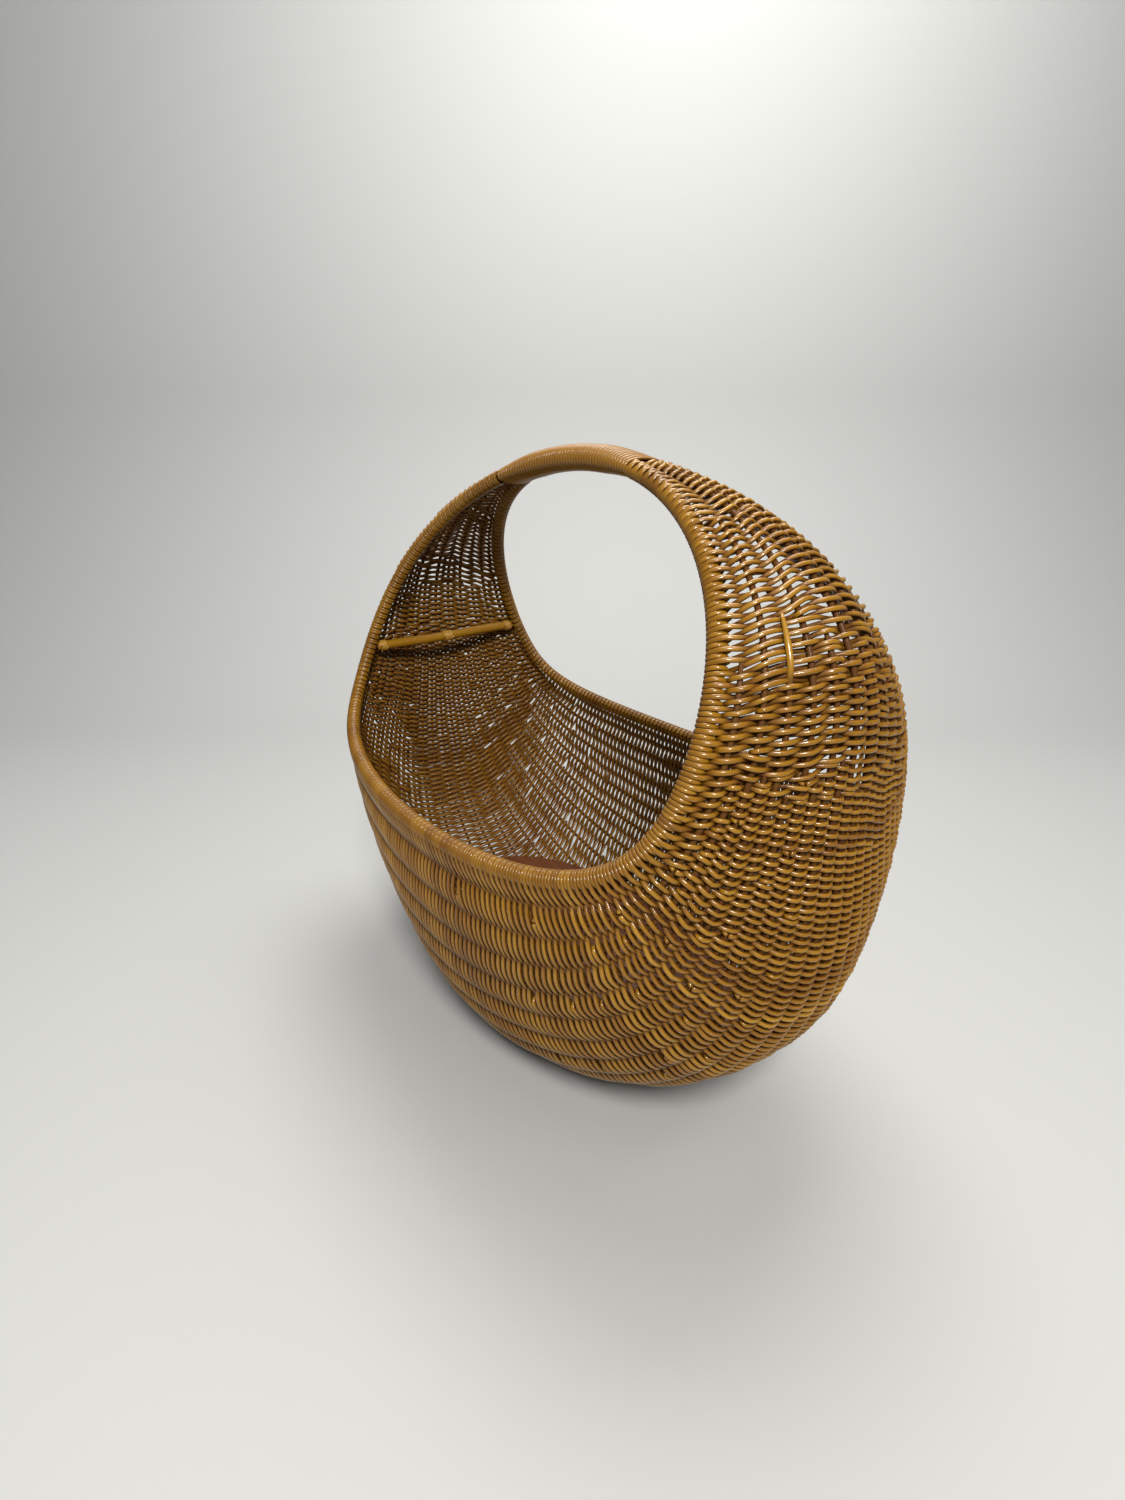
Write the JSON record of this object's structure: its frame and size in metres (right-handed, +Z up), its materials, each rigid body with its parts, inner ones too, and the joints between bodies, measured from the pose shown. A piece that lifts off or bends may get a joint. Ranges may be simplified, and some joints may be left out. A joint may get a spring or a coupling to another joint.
{
  "type": "wicker basket",
  "caption": "Large boat-shaped ribbed wicker basket with two rim hoops bound together as the handle, open at the front and back, woven belly and ends.",
  "frame": {"origin": "on the floor under the middle of the basket, at the bottom centre of its bounding box", "axes": "+X along the basket to its right end, +Y to the back rim, +Z up"},
  "size_m": [0.9298, 0.5354, 0.8152],
  "materials": {
    "weaving_cane": "glossy varnished golden brown cane",
    "rim_cane": "varnished tan brown cane, closely wrapped",
    "rib_rod": "varnished brown rod",
    "bar_cane": "smooth varnished whole cane",
    "board_wood": "dark reddish brown board, satin"
  },
  "bodies": {
    "root": {"front_rim_hoop": "rim_cane", "back_rim_hoop": "rim_cane", "handle_wrapping": "rim_cane", "keel_rib": "rib_rod", "rib_front_01": "rib_rod", "rib_front_02": "rib_rod", "rib_front_03": "rib_rod", "rib_front_04": "rib_rod", "rib_front_05": "rib_rod", "rib_front_06": "rib_rod", "rib_front_07": "rib_rod", "rib_front_08": "rib_rod", "rib_front_09": "rib_rod", "rib_front_10": "rib_rod", "rib_back_01": "rib_rod", "rib_back_02": "rib_rod", "rib_back_03": "rib_rod", "rib_back_04": "rib_rod", "rib_back_05": "rib_rod", "rib_back_06": "rib_rod", "rib_back_07": "rib_rod", "rib_back_08": "rib_rod", "rib_back_09": "rib_rod", "rib_back_10": "rib_rod", "weave_right_01": "weaving_cane", "weave_right_02": "weaving_cane", "weave_right_03": "weaving_cane", "weave_right_04": "weaving_cane", "weave_right_05": "weaving_cane", "weave_right_06": "weaving_cane", "weave_right_07": "weaving_cane", "weave_right_08": "weaving_cane", "weave_left_01": "weaving_cane", "weave_left_02": "weaving_cane", "weave_left_03": "weaving_cane", "weave_left_04": "weaving_cane", "weave_left_05": "weaving_cane", "weave_left_06": "weaving_cane", "weave_left_07": "weaving_cane", "weave_left_08": "weaving_cane", "cross_bar_left": "bar_cane", "cross_bar_lashing_left": "weaving_cane", "cross_bar_tie_left_front": "weaving_cane", "cross_bar_tie_left_back": "weaving_cane", "cross_bar_right": "bar_cane", "cross_bar_lashing_right": "weaving_cane", "cross_bar_tie_right_front": "weaving_cane", "cross_bar_tie_right_back": "weaving_cane", "base_board": "board_wood"}
  },
  "joints": []
}
